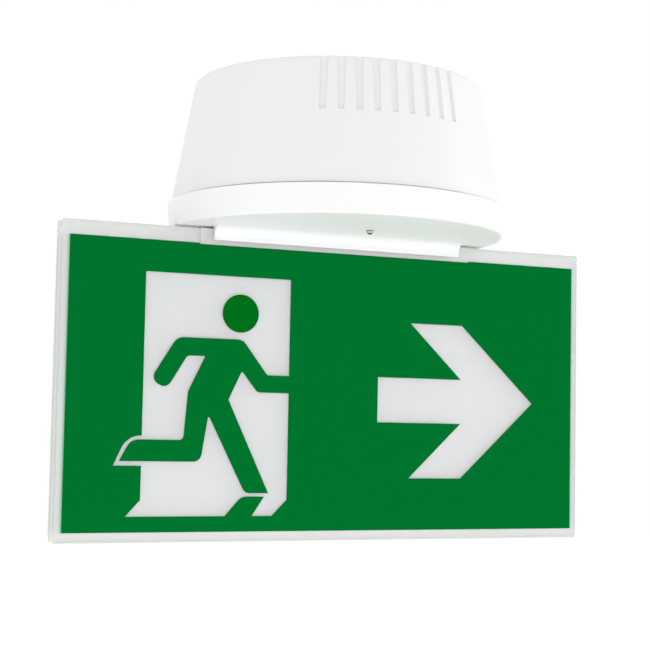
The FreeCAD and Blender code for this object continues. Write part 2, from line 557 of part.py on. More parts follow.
def front_legend():
    """Green film: a field with a doorway and an arrow cut out, and the running figure left in."""
    notch = (FILM_WIDTH - COLLAR_LENGTH) / 2
    field = film_piece([(0, 0), (FILM_WIDTH, 0), (FILM_WIDTH, FILM_HEIGHT), (0, FILM_HEIGHT)])
    lip_foot = FILM_HEIGHT - COLLAR_DROP
    lip = film_piece([(notch, lip_foot), (FILM_WIDTH - notch, lip_foot), (FILM_WIDTH - notch, FILM_HEIGHT),
                      (notch, FILM_HEIGHT)])
    slant_top = DOOR_FOOT + DOOR_FOOT_HEIGHT
    doorway = film_piece([(DOOR_LEFT, DOOR_TOP), (DOOR_RIGHT, DOOR_TOP), (DOOR_RIGHT, slant_top),
                          (DOOR_RIGHT - DOOR_FOOT_HEIGHT, DOOR_FOOT), (DOOR_LEFT - DOOR_SPLAY, DOOR_FOOT),
                          (DOOR_LEFT, slant_top)])
    heel = film_piece([(DOOR_LEFT + FIGURE_OVERLAP, SHIN_TOP), (SHIN_SHOULDER, SHIN_TOP, SHIN_ROUND),
                       (SHIN_TIP, SHIN_FOOT), (DOOR_LEFT + FIGURE_OVERLAP, SHIN_FOOT)])
    upper_arrow = [(0, ARROW_SHAFT_HALF), (ARROW_NECK, ARROW_SHAFT_HALF),
                   (ARROW_BACK, ARROW_HEAD_HALF), (ARROW_BACK + ARROW_BARB, ARROW_HEAD_HALF)]
    lower_arrow = [(right, -up) for right, up in reversed(upper_arrow)]
    arrow_corners = upper_arrow + [(ARROW_LENGTH, 0)] + lower_arrow
    tail = FILM_WIDTH - ARROW_TIP_INSET - ARROW_LENGTH
    arrow = film_piece([(tail + right, ARROW_MIDDLE + up) for right, up in arrow_corners])
    head_centre = on_film(*HEAD_CENTRE)
    head = Part.makeCylinder(HEAD_RADIUS, FILM_THICKNESS, head_centre, Vector(0, 1, 0))
    open_field = field.cut([doorway, heel, arrow, lip])
    return [joined([open_field, film_piece(FIGURE), film_piece(FOOT)]), head]


def blade_screws():
    """Cross screws through the ribs and the tongue, heads to the front."""
    shank_radius, head_radius, head_height = SMALL_SCREW
    shank_length = 2 * RIB_OUTER_Y + NUT_THICKNESS + SCREW_END
    screws = []
    for side in (-1, 1):
        x = side * TONGUE_SCREW_X
        seat = Vector(x, -RIB_OUTER_Y, TONGUE_SCREW_Z)
        head = Part.makeCylinder(head_radius, head_height, seat, Vector(0, -1, 0))
        shank = Part.makeCylinder(shank_radius, shank_length, seat, Vector(0, 1, 0))
        screws.append(head.fuse(shank))
    return screws


def blade_nuts():
    corner_radius = NUT_ACROSS_FLATS / math.sqrt(3)
    nuts = []
    for side in (-1, 1):
        x = side * TONGUE_SCREW_X
        flats = [polar(corner_radius, 60 * index) for index in range(6)]
        body = prism(flats, lambda a, b: Vector(x + a, RIB_OUTER_Y, TONGUE_SCREW_Z + b),
                     Vector(0, NUT_THICKNESS, 0))
        hole = Part.makeCylinder(SMALL_SCREW[0] + THREAD_CLEARANCE, NUT_THICKNESS,
                                 Vector(x, RIB_OUTER_Y, TONGUE_SCREW_Z), Vector(0, 1, 0))
        nuts.append(body.cut(hole))
    return nuts


# ---------------------------------------------------------------- lighting
def led_board():
    board = centred_box(RAIL_LENGTH, 2 * RIB_OUTER_Y, 0, 0, RIB_TOP_Z, LED_BOARD_TOP_Z)
    clear = RAIL_SCREW[0] + HOLE_CLEARANCE
    return board.cut([rod(clear, RIB_TOP_Z, LED_BOARD_TOP_Z, side * RAIL_SCREW_X, 0) for side in (-1, 1)])


def led_chips():
    first = -(LED_COUNT - 1) / 2 * LED_PITCH
    places = [first + LED_PITCH * index for index in range(LED_COUNT)]
    return [centred_box(LED_SIZE, LED_SIZE, x, 0, RIB_TOP_Z - LED_HEIGHT, RIB_TOP_Z) for x in places]


def led_rail():
    inner = RIB_OUTER_Y + SLIDE_CLEARANCE / 2
    outer = inner + RAIL_LEG
    top, foot = LED_BOARD_TOP_Z + RAIL_WEB, RIB_TOP_Z - RAIL_LEG_DROP
    corners = [(-outer, foot), (-inner, foot), (-inner, LED_BOARD_TOP_Z), (inner, LED_BOARD_TOP_Z),
               (inner, foot), (outer, foot), (outer, top, RAIL_EDGE_ROUND), (-outer, top, RAIL_EDGE_ROUND)]
    rail = prism(corners, lambda y, z: Vector(-RAIL_LENGTH / 2, y, z), Vector(RAIL_LENGTH, 0, 0))
    clear = RAIL_SCREW[0] + HOLE_CLEARANCE
    return rail.cut([rod(clear, LED_BOARD_TOP_Z, top, side * RAIL_SCREW_X, 0) for side in (-1, 1)])


def rail_screws():
    shank_radius, head_radius, head_height = RAIL_SCREW
    top = LED_BOARD_TOP_Z + RAIL_WEB
    screws = []
    for side in (-1, 1):
        x = side * RAIL_SCREW_X
        head = rod(head_radius, top, top + head_height, x, 0)
        screws.append(head.fuse(rod(shank_radius, top - RAIL_SCREW_REACH, top, x, 0)))
    return screws


def status_led():
    x, y = STATUS_PLACE
    dome_z = RIM_Z - STATUS_PROUD + STATUS_RADIUS
    flange_top = FLOOR_Z + STATUS_FLANGE_THICKNESS
    dome = Part.makeSphere(STATUS_RADIUS, Vector(x, y, dome_z), Vector(0, 0, 1), -90, 0)
    body = rod(STATUS_RADIUS, dome_z, FLOOR_Z, x, y)
    flange = rod(STATUS_FLANGE_RADIUS, FLOOR_Z, flange_top, x, y)
    leads = [centred_box(STATUS_LEAD, STATUS_LEAD, x + side * STATUS_LEAD_SPACING / 2, y,
                         flange_top, FLOOR_Z + HOLDER_HEIGHT) for side in (-1, 1)]
    return joined([dome, body, flange] + leads)


def status_holder():
    inner = STATUS_FLANGE_RADIUS + SLIDE_CLEARANCE / 2
    return ring(HOLDER_RADIUS, inner, FLOOR_Z, FLOOR_Z + HOLDER_HEIGHT, *STATUS_PLACE)


def indicator_board():
    length, width, thickness = INDICATOR_BOARD
    foot = FLOOR_Z + HOLDER_HEIGHT
    return centred_box(length, width, STATUS_PLACE[0], STATUS_PLACE[1], foot, foot + thickness)


# ---------------------------------------------------------------- gear tray and control gear
BOARD_POSTS = [(side_x * (BOARD_LENGTH / 2 - BOARD_SCREW_INSET),
                BOARD_CENTRE_Y + side_y * (BOARD_WIDTH / 2 - BOARD_SCREW_INSET))
               for side_x in (-1, 1) for side_y in (-1, 1)]
PACK_HALF = CELL_COUNT * CELL_DIAMETER / 2
STRAP_PLACES = [BATTERY_CENTRE_Y + side * STRAP_SPACING / 2 for side in (-1, 1)]


def strap_loop(grow, y, width):
    """Closed loop round the battery and the tray, grown outwards by grow."""
    inner = PACK_HALF + STRAP_CLEARANCE
    foot = TRAY_FOOT_Z - CELL_DIAMETER - STRAP_CLEARANCE
    low_round = CELL_DIAMETER / 2 + grow
    corners = [(-inner - grow, TRAY_TOP_Z + grow), (inner + grow, TRAY_TOP_Z + grow),
               (inner + grow, foot - grow, low_round), (-inner - grow, foot - grow, low_round)]
    return prism(corners, lambda x, z: Vector(x, y - width / 2, z), Vector(0, width, 0))


def battery_straps():
    straps = []
    for y in STRAP_PLACES:
        straps.append(strap_loop(STRAP_THICKNESS, y, STRAP_WIDTH).cut(strap_loop(0, y, STRAP_WIDTH)))
    return straps


def gear_tray():
    tray = rod(TRAY_RADIUS, TRAY_FOOT_Z, TRAY_TOP_Z)
    posts = [rod(BOARD_POST_RADIUS, BOARD_TOP_Z, TRAY_FOOT_Z, x, y) for x, y in BOARD_POSTS]
    tray = joined([tray] + posts)
    holes = [rod(DRIVER_HOLE_RADIUS, TRAY_FOOT_Z, TRAY_TOP_Z, x, y) for x, y in PILLARS]
    clear = SMALL_SCREW[0] + HOLE_CLEARANCE
    holes += [rod(clear, TRAY_FOOT_Z, TRAY_TOP_Z, x, y) for x, y in TRAY_BOSSES]
    thread = SMALL_SCREW[0] + THREAD_CLEARANCE
    holes += [rod(thread, BOARD_TOP_Z, TRAY_TOP_Z, x, y) for x, y in BOARD_POSTS]
    inner = PACK_HALF + STRAP_CLEARANCE
    for y in STRAP_PLACES:
        for side in (-1, 1):
            x = side * (inner + STRAP_THICKNESS / 2)
            holes.append(centred_box(STRAP_THICKNESS + 2 * STRAP_CLEARANCE, STRAP_WIDTH + SLIDE_CLEARANCE,
                                     x, y, TRAY_FOOT_Z, TRAY_TOP_Z))
    return tray.cut(holes)


def tray_screws():
    return [hanging_screw(SMALL_SCREW, TRAY_SCREW_REACH, x, y, TRAY_FOOT_Z) for x, y in TRAY_BOSSES]


def control_board():
    board = centred_box(BOARD_LENGTH, BOARD_WIDTH, 0, BOARD_CENTRE_Y, BOARD_FOOT_Z, BOARD_TOP_Z)
    clear = SMALL_SCREW[0] + HOLE_CLEARANCE
    return board.cut([rod(clear, BOARD_FOOT_Z, BOARD_TOP_Z, x, y) for x, y in BOARD_POSTS])


def board_screws():
    return [hanging_screw(SMALL_SCREW, BOARD_SCREW_REACH, x, y, BOARD_FOOT_Z) for x, y in BOARD_POSTS]


def battery_pack():
    top, foot = TRAY_FOOT_Z, TRAY_FOOT_Z - CELL_DIAMETER
    end_round = CELL_DIAMETER / 2 - THREAD_CLEARANCE
    corners = [(-PACK_HALF, foot, end_round), (PACK_HALF, foot, end_round),
               (PACK_HALF, top, end_round), (-PACK_HALF, top, end_round)]
    start = BATTERY_CENTRE_Y - CELL_LENGTH / 2
    return prism(corners, lambda x, z: Vector(x, start, z), Vector(0, CELL_LENGTH, 0))


def transformer():
    halves = []
    for (length, width, height), top in ((TRANSFORMER_CORE, BOARD_FOOT_Z - TRANSFORMER_STANDOFF),
                                         (TRANSFORMER_BOBBIN, BOARD_FOOT_Z)):
        halves.append(centred_box(length, width, TRANSFORMER_CENTRE_X, BOARD_CENTRE_Y, top - height, top))
    return joined(halves)


def capacitors():
    return [rod(radius, BOARD_FOOT_Z - height, BOARD_FOOT_Z, x, y) for x, y, radius, height in CAPACITORS]


def board_connectors():
    return [centred_box(length, width, x, y, BOARD_FOOT_Z - height, BOARD_FOOT_Z)
            for x, y, length, width, height in CONNECTORS]


def fuse():
    x, y = FUSE_CENTRE
    axis_z = BOARD_FOOT_Z - FUSE_CLIP_HEIGHT / 2 - FUSE_RADIUS / 2
    start = Vector(x - FUSE_LENGTH / 2, y, axis_z)
    tube = Part.makeCylinder(FUSE_RADIUS, FUSE_LENGTH, start, Vector(1, 0, 0))
    offset = (FUSE_LENGTH - FUSE_CLIP_LENGTH) / 2
    clips = [centred_box(FUSE_CLIP_LENGTH, FUSE_CLIP_WIDTH, x + side * offset, y,
                         BOARD_FOOT_Z - FUSE_CLIP_HEIGHT, BOARD_FOOT_Z) for side in (-1, 1)]
    return joined([tube] + clips)


# ---------------------------------------------------------------- nodes
TRAY = clear_tray()
DIFFUSER = front_diffuser()
LEGEND = front_legend()

NODES = {
    "mounting_plate": [mounting_plate()],
    "cable_grommet": [cable_grommet()],
    "terminal_block": [terminal_block()],
    "terminal_screws": terminal_screws(),
    "housing_shell": [housing_shell()],
    "housing_screws": housing_screws(),
    "lower_cover": [lower_cover()],
    "gear_tray": [gear_tray()],
    "tray_screws": tray_screws(),
    "control_board": [control_board()],
    "board_screws": board_screws(),
    "transformer": [transformer()],
    "capacitors": capacitors(),
    "board_connectors": board_connectors(),
    "fuse": [fuse()],
    "battery_pack": [battery_pack()],
    "battery_straps": battery_straps(),
    "led_rail": [led_rail()],
    "rail_screws": rail_screws(),
    "led_board": [led_board()],
    "led_chips": led_chips(),
    "status_led": [status_led()],
    "status_holder": [status_holder()],
    "indicator_board": [indicator_board()],
    "light_guide": [light_guide()],
    "edge_tape": [edge_tape()],
    "front_diffuser": [DIFFUSER],
    "back_diffuser": [mirrored_to_back(DIFFUSER)],
    "front_legend": LEGEND,
    "back_legend": [mirrored_to_back(piece) for piece in LEGEND],
    "front_cover": [TRAY],
    "back_cover": [mirrored_to_back(TRAY)],
    "blade_screws": blade_screws(),
    "blade_nuts": blade_nuts(),
}

os.makedirs("parts", exist_ok=True)
for name, pieces in NODES.items():
    solids = [solid for piece in pieces for solid in piece.Solids]
    shape = solids[0] if len(solids) == 1 else Part.makeCompound(solids)
    if not shape.isValid():
        raise ValueError(name + " is not a valid shape")
    shape.exportStep("parts/" + name + ".step")
    print(name, len(solids), "solids", round(shape.Volume / 1000, 2), "cm3")
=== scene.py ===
# %% [markdown]
# # Emergency exit light
# A round white housing is screwed to the ceiling and carries a clear blade with a green
# sign on both faces.  A strip of lamps hidden in the housing shines down into the edge of
# the blade.  The CAD model gives every piece its size and place, and this lesson gives
# each one the finish of the real material, then lights the product and renders it.

import math

import bmesh
import bpy
from mathutils import Matrix, Vector


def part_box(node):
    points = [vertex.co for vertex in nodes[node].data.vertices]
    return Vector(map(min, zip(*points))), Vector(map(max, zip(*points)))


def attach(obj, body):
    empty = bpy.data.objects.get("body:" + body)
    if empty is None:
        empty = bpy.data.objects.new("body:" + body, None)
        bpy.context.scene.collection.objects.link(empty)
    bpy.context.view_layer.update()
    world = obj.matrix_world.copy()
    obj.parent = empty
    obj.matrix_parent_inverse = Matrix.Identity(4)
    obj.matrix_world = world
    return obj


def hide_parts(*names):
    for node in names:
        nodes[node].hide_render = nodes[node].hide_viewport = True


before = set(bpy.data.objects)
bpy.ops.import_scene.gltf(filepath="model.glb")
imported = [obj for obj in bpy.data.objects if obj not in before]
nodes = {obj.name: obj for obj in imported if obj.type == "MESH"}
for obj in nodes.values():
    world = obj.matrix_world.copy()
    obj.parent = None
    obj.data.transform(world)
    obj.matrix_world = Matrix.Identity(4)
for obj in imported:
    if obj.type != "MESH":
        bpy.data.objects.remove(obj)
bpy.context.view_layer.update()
MM = 0.001

# %% [markdown]
# ## Helpers
# Shaders work with linear colour, while paint charts and screens give sRGB, so one
# function turns a hex value into what a shader expects.  One more adds a node, sets it and
# links it, which is all that a material or a geometry tree needs, so each reads like a
# recipe.  A Mix node keeps sockets for several types under one name, and so its colours
# are reached by number.

# %% Colour and node helpers
MATH = "ShaderNodeMath"
MIX_FIRST, MIX_SECOND, MIX_RESULT = 6, 7, 2     # colour sockets of a Mix node
NOISE_LOW, NOISE_HIGH = 0.3, 0.7                # where noise mostly lies


def linear(hex_colour):
    """An sRGB hex colour as the linear red, green, blue and alpha of a shader."""
    channels = [int(hex_colour[start:start + 2], 16) / 255 for start in (0, 2, 4)]
    return [c / 12.92 if c <= 0.04045 else ((c + 0.055) / 1.055) ** 2.4 for c in channels] + [1.0]


def add_node(tree, kind, inputs=(), **settings):
    """Add a node with its settings.  Inputs come in order, or by name or number, and each is
    a value, a socket to link, or a node whose first output is linked."""
    node = tree.nodes.new(kind)
    for name, value in settings.items():
        setattr(node, name, value)
    for key, value in inputs.items() if isinstance(inputs, dict) else enumerate(inputs):
        if isinstance(value, bpy.types.Node):
            value = value.outputs[0]
        if isinstance(value, bpy.types.NodeSocket):
            tree.links.new(value, node.inputs[key])
        else:
            node.inputs[key].default_value = value
    return node


def new_material(name):
    """An empty node material and its tree."""
    material = bpy.data.materials.new(name)
    material.use_nodes = True
    material.node_tree.nodes.clear()
    return material, material.node_tree


print("white is", linear("FFFFFF"), "and mid grey is", linear("808080"))

# %% [markdown]
# ## Camera
# The light hangs above head height, so it is looked at from a little below and from the
# left of its front.  A long lens from almost a metre away keeps the sign's edges nearly
# parallel, and a slight roll is that of a hand-held camera.

# %% Camera
CAMERA_PLACE = (-0.3163, -0.7410, -0.1897)
CAMERA_TURN = math.radians(23.12)      # from +Y towards +X
CAMERA_TILT = math.radians(3.93)       # upwards
CAMERA_ROLL = math.radians(1.07)
camera_data = bpy.data.cameras.new("camera")
camera_data.lens = 80.97
camera_data.sensor_width = 36.0
camera_data.shift_x = -0.0131
camera_data.shift_y = 0.0100
camera = bpy.data.objects.new("camera", camera_data)
turn = Matrix.Rotation(-CAMERA_TURN, 4, "Z")
tilt = Matrix.Rotation(math.pi / 2 + CAMERA_TILT, 4, "X")
roll = Matrix.Rotation(CAMERA_ROLL, 4, "Z")
camera.matrix_world = Matrix.Translation(CAMERA_PLACE) @ turn @ tilt @ roll
bpy.context.collection.objects.link(camera)
bpy.context.scene.camera = camera
print("the lens is", camera_data.lens, "mm")

# %% [markdown]
# ## Studio
# A white product stays readable on a white ground only if the lamps leave its shaded
# sides a little darker.  So most of the light comes evenly from the world and from a pale
# floor that glows like a lit table, and three weak soft lamps add a little from the front,
# the right and below.  What the camera, gloss and clear plastic see of the world is plain
# white, whatever lights the product.  The renderer takes a surface for a lamp only when
# its glow is strong, so the floor's material asks for that, and its light then goes
# through the clear faces as a lamp's does.

# %% World and floor
WORLD_LEVEL = 0.85
FLOOR_DROP, FLOOR_HALF, FLOOR_GLOW = 0.55, 4.0, 0.47    # metres below the ceiling, metres, level
world = bpy.data.worlds.new("studio")
bpy.context.scene.world = world
world.use_nodes = True
sky = world.node_tree
sky.nodes.clear()
path = add_node(sky, "ShaderNodeLightPath").outputs
either = add_node(sky, MATH, [path["Is Camera Ray"], path["Is Glossy Ray"]], operation="MAXIMUM")
seen = add_node(sky, MATH, [either, path["Is Transmission Ray"]], operation="MAXIMUM")
level = add_node(sky, "ShaderNodeMapRange", {"Value": seen, "To Min": WORLD_LEVEL, "To Max": 1.0})
background = add_node(sky, "ShaderNodeBackground", {"Color": linear("FFFFFF"), "Strength": level})
add_node(sky, "ShaderNodeOutputWorld", [background])

floor_material, tree = new_material("matt white studio floor")
floor_material.cycles.emission_sampling = "FRONT_BACK"
matt = add_node(tree, "ShaderNodeBsdfDiffuse", {"Color": linear("EDEDED")})
glow = add_node(tree, "ShaderNodeEmission", {"Color": linear("FFFFFF"), "Strength": FLOOR_GLOW})
add_node(tree, "ShaderNodeOutputMaterial", [add_node(tree, "ShaderNodeAddShader", [matt, glow])])

floor_mesh = bpy.data.meshes.new("studio_floor")
corners = [(x * FLOOR_HALF, y * FLOOR_HALF, -FLOOR_DROP) for x, y in ((-1, -1), (1, -1), (1, 1), (-1, 1))]
floor_mesh.from_pydata(corners, [], [(0, 1, 2, 3)])
floor_mesh.materials.append(floor_material)
floor = bpy.data.objects.new("studio_floor", floor_mesh)
bpy.context.collection.objects.link(floor)
print("floor", FLOOR_DROP, "m below the ceiling")

# %% Lamps
LAMPS_AIM = Vector((0.0, 0.0, -0.10))


def soft_lamp(name, place, size, power):
    """A square lamp at a place, turned to the product."""
    data = bpy.data.lights.new(name, "AREA")
    data.size = size
    data.energy = power
    lamp = bpy.data.objects.new(name, data)
    lamp.location = place
    lamp.rotation_euler = (LAMPS_AIM - lamp.location).to_track_quat("-Z", "Y").to_euler()
    bpy.context.collection.objects.link(lamp)


soft_lamp("front_softbox", (-0.45, -1.35, -0.20), 1.0, 0.3)
soft_lamp("right_softbox", (1.10, -0.35, 0.05), 0.6, 2.0)
soft_lamp("low_softbox", (-0.20, -0.34, -0.53), 0.5, 0.3)
bpy.context.scene.view_settings.view_transform = "Standard"
print("studio ready,", len(bpy.data.lights), "lamps")

# %% [markdown]
# ## Moulded plastics
# The housing, cover and inner mouldings are thermoplastics shot into polished or
# spark-eroded steel tools.  Such a skin is an even colour with a very fine grain that
# breaks the highlight up, so each recipe is one principled shader whose roughness and
# bump follow two sizes of noise.  The grain is drawn a few times coarser than it is,
# so that a picture of the whole light can still show it.

# %% Moulded plastic
GLOSS_BLOTCH_MM = 40        # slow drift of the gloss over a moulding


def moulded(name, colour, roughness, grain_mm, relief_mm, ior=1.53, shine=0.5):
    """Opaque moulded plastic: grain_mm is the tool's texture, relief_mm its depth."""
    material, tree = new_material(name)
    place = add_node(tree, "ShaderNodeTexCoord").outputs["Object"]
    grain = add_node(tree, "ShaderNodeTexNoise", {
        "Vector": place, "Scale": 1 / (grain_mm * MM), "Detail": 3.0})
    blotches = add_node(tree, "ShaderNodeTexNoise", {
        "Vector": place, "Scale": 1 / (GLOSS_BLOTCH_MM * MM), "Detail": 2.0})
    dull = [c * 0.985 for c in linear(colour)[:3]] + [1.0]
    tone = add_node(tree, "ShaderNodeMix", {
        "Factor": grain, MIX_FIRST: dull, MIX_SECOND: linear(colour)}, data_type="RGBA").outputs[MIX_RESULT]
    gloss = add_node(tree, "ShaderNodeMapRange", {
        "Value": blotches, "From Min": NOISE_LOW, "From Max": NOISE_HIGH,
        "To Min": roughness - 0.04, "To Max": roughness + 0.04})
    normal = add_node(tree, "ShaderNodeBump", {"Height": grain, "Distance": relief_mm * MM, "Strength": 1.0})
    skin = add_node(tree, "ShaderNodeBsdfPrincipled", {
        "Base Color": tone, "Roughness": gloss, "Normal": normal, "IOR": ior, "Specular IOR Level": shine})
    add_node(tree, "ShaderNodeOutputMaterial", [skin])
    return material


# ABS from a spark-eroded tool: matt white with a faint pebble.
white_abs = moulded("white ABS, spark-eroded", "EFEFEF", 0.42, 1.2, 0.02)
# Polycarbonate from a polished tool: the band and underside shine a little more.
white_polycarbonate = moulded("white polycarbonate, polished tool", "F6F6F6", 0.34, 2.0, 0.006, 1.58, 0.25)
# Nylon mouldings inside: a creamy terminal block, white connectors, black holder and straps.
cream_nylon = moulded("cream nylon, moulded", "E6DFC8", 0.45, 0.8, 0.02)
white_nylon = moulded("white nylon, moulded", "ECEAE2", 0.45, 0.8, 0.02)
black_nylon = moulded("black nylon, moulded", "1C1D1E", 0.5, 0.8, 0.03)
# The grommet is compression-moulded rubber: black, soft and dull.
black_rubber = moulded("black EPDM rubber, moulded", "171717", 0.75, 0.6, 0.04, 1.45)
print("plastics made")

# %% [markdown]
# ## Clear plastics
# The blade's two halves are moulded acrylic and the sheet between them is cast acrylic,
# both with an index of 1.49.  A renderer that follows light only from the camera would
# leave the sheet behind them black, so lamps are let straight through the broad faces.
# The narrow edges keep their shadow, because light that enters them is held inside by
# total reflection and never comes out at the other edge.  A little roughness is that of a
# moulded face, which blurs what lies behind it.  Light that runs on inside the acrylic past
# the film's side edges is painted into the acrylic's colour there as a green line, a painted glow.

# %% Colours and painted light within the clear plastics
FILM_LOW, FILM_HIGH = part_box("front_legend")
# The green line beside the film is a painted glow in the acrylic's colour, not a colour of the plastic.
PAINTED_GLOW_WIDTH = 1.4 * MM                       # width of the green line beside the film
LENS_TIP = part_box("status_led")[0].z
# Beyond the lens's white band its colour is painted dark: a painted reflection of the black collar at the tip
# and painted shade at the base.
LENS_MIDDLE, LENS_BAND = 1.3 * MM, 0.65 * MM    # white band of the lens: above its tip, half height


def painted_film_glow(tree, place, colour):
    """The plastic's colour with a painted glow: greener just beside the film, whose cut edge shines into it.
    """
    axes = add_node(tree, "ShaderNodeSeparateXYZ", [place]).outputs
    rise = add_node(tree, MATH, [axes[2], (FILM_LOW.z + FILM_HIGH.z) / 2], operation="SUBTRACT")
    off_middle = add_node(tree, MATH, [rise], operation="ABSOLUTE")
    level_with = add_node(tree, MATH, [off_middle, (FILM_HIGH.z - FILM_LOW.z) / 2], operation="LESS_THAN")
    out = add_node(tree, MATH, [axes[0]], operation="ABSOLUTE")
    past_side = add_node(tree, MATH, [out, FILM_HIGH.x], operation="SUBTRACT")
    beside = add_node(tree, MATH, [past_side], operation="ABSOLUTE")
    share = add_node(tree, "ShaderNodeMapRange", {
        "Value": beside, "From Min": 0.0, "From Max": PAINTED_GLOW_WIDTH, "To Min": 1.0, "To Max": 0.0})
    painted_glow_share = add_node(tree, MATH, [share, level_with], operation="MULTIPLY")
    return add_node(tree, "ShaderNodeMix", {
        "Factor": painted_glow_share, MIX_FIRST: linear(colour), MIX_SECOND: linear("90DCB0")},
        data_type="RGBA").outputs[MIX_RESULT]


def painted_lens_reflection_and_shade(tree, place, colour):
    """The lens's colour, with painted reflection and shade: dark at its tip, a painted reflection of the
    black collar that shows in it, and painted shade at its base.
    """
    height = add_node(tree, "ShaderNodeSeparateXYZ", [place]).outputs[2]
    rise = add_node(tree, MATH, [height, LENS_TIP + LENS_MIDDLE], operation="SUBTRACT")
    off_middle = add_node(tree, MATH, [rise], operation="ABSOLUTE")
    in_painted_dark = add_node(tree, MATH, [off_middle, LENS_BAND], operation="GREATER_THAN")
    return add_node(tree, "ShaderNodeMix", {
        "Factor": in_painted_dark, MIX_FIRST: linear(colour), MIX_SECOND: linear("2A2A2A")},
        data_type="RGBA").outputs[MIX_RESULT]


print("the film reaches", FILM_HIGH.x, "m to each side")

# %% Clear plastic
WAVE_MM, WAVE_DEPTH_MM = 18, 0.05       # slow waves of a moulded or cast face


def clear_plastic(name, colour, roughness, ior, clearness, facing, painted_light=None):
    """See-through plastic that lets lamps through the faces that look along facing; painted_light, where
    given, adds painted light to its colour.
    """
    material, tree = new_material(name)
    place = add_node(tree, "ShaderNodeTexCoord").outputs["Object"]
    colour_and_painted_light = painted_light(tree, place, colour) if painted_light else linear(colour)
    waves = add_node(tree, "ShaderNodeTexNoise", {
        "Vector": place, "Scale": 1 / (WAVE_MM * MM), "Detail": 1.0})
    wavy = add_node(tree, "ShaderNodeBump", {
        "Height": waves, "Distance": WAVE_DEPTH_MM * MM, "Strength": 1.0})
    body = add_node(tree, "ShaderNodeBsdfPrincipled", {
        "Base Color": colour_and_painted_light, "Roughness": roughness, "IOR": ior,
        "Transmission Weight": clearness, "Normal": wavy})
    through = add_node(tree, "ShaderNodeBsdfTransparent", {"Color": linear(colour)})
    lamp_ray = add_node(tree, "ShaderNodeLightPath").outputs["Is Shadow Ray"]
    normal = add_node(tree, "ShaderNodeNewGeometry").outputs["True Normal"]
    along = add_node(tree, "ShaderNodeVectorMath", [normal, facing], operation="DOT_PRODUCT").outputs["Value"]
    broad = add_node(tree, MATH, [along], operation="ABSOLUTE")
    open_share = add_node(tree, MATH, [lamp_ray, broad], operation="MULTIPLY")
    either = add_node(tree, "ShaderNodeMixShader", [open_share, body, through])
    add_node(tree, "ShaderNodeOutputMaterial", [either])
    return material


# The moulded halves carry the painted green glow beside the film.
clear_acrylic = clear_plastic("clear acrylic, moulded", "FAFBFA", 0.12, 1.49, 0.52, (0, 1, 0), painted_film_glow)
guide_acrylic = clear_plastic("cast acrylic, polished edges", "F2F6F3", 0.02, 1.49, 0.95, (0, 1, 0))
# The lens carries painted reflection and shade in its colour.
clear_epoxy = clear_plastic("clear epoxy lens, cast", "F6F6F4", 0.04, 1.52, 0.5, (0, 0, 1), painted_lens_reflection_and_shade)
print("clear plastics made")

# %% [markdown]
# ## Film, sheet and tape
# The sign is printed on a thin polyester film that lies on the outside of the blade.  The
# ink is an even, deep green that hardly shines.  Its figure's head is a separate disc, cut
# from a film that is a touch yellower.  Three millimetres behind, under the clear acrylic,
# an opal sheet scatters the guide's light and looks like milk glass, so the edges of the
# film throw a soft shadow on it.

# %% Film, sheet and tape
HEAD_MIDDLE = (-56.4 * MM, 0, -127.6 * MM)
HEAD_REACH = 11 * MM
INK_GRAIN_MM = 0.5
green_film, tree = new_material("green polyester film, screen-printed")
place = add_node(tree, "ShaderNodeTexCoord").outputs["Object"]
flat = add_node(tree, "ShaderNodeVectorMath", [place, (1, 0, 1)], operation="MULTIPLY")
apart = add_node(tree, "ShaderNodeVectorMath", [flat, HEAD_MIDDLE], operation="DISTANCE").outputs["Value"]
on_head = add_node(tree, MATH, [apart, HEAD_REACH], operation="LESS_THAN")
ink = add_node(tree, "ShaderNodeTexNoise", {"Vector": place, "Scale": 1 / (INK_GRAIN_MM * MM), "Detail": 3.0})
field = add_node(tree, "ShaderNodeMix", {
    "Factor": ink, MIX_FIRST: linear("006E2C"), MIX_SECOND: linear("00702D")}, data_type="RGBA")
green = add_node(tree, "ShaderNodeMix", {
    "Factor": on_head, MIX_FIRST: field.outputs[MIX_RESULT], MIX_SECOND: linear("006B18")}, data_type="RGBA")
gloss = add_node(tree, "ShaderNodeMapRange", {
    "Value": ink, "From Min": NOISE_LOW, "From Max": NOISE_HIGH, "To Min": 0.45, "To Max": 0.55})
ink_normal = add_node(tree, "ShaderNodeBump", {"Height": ink, "Distance": 0.003 * MM, "Strength": 1.0})
printed = add_node(tree, "ShaderNodeBsdfPrincipled", {
    "Base Color": green.outputs[MIX_RESULT], "Roughness": gloss, "Normal": ink_normal,
    "IOR": 1.5, "Specular IOR Level": 0.0})
add_node(tree, "ShaderNodeOutputMaterial", [printed])
# Opal polycarbonate, extruded: an even bluish white that is barely glossy.
opal_sheet = moulded("opal polycarbonate sheet, extruded", "F3F5FF", 0.5, 0.7, 0.003, 1.5, 0.3)
# Coated polyester tape: flat bright white.
white_tape = moulded("white polyester tape, coated", "F4F4F4", 0.4, 0.5, 0.003, 1.5)
print("film, sheet and tape made")

# %% [markdown]
# ## Metals
# The plate is stamped from galvanised strip, whose zinc freezes into broad pale crystals.
# Screws and nuts are turned or pressed, then zinc-plated bright with a bluish cast.  The
# lamp rail is pressed through a die, which leaves fine lines along its length, so there
# the noise is stretched along X.

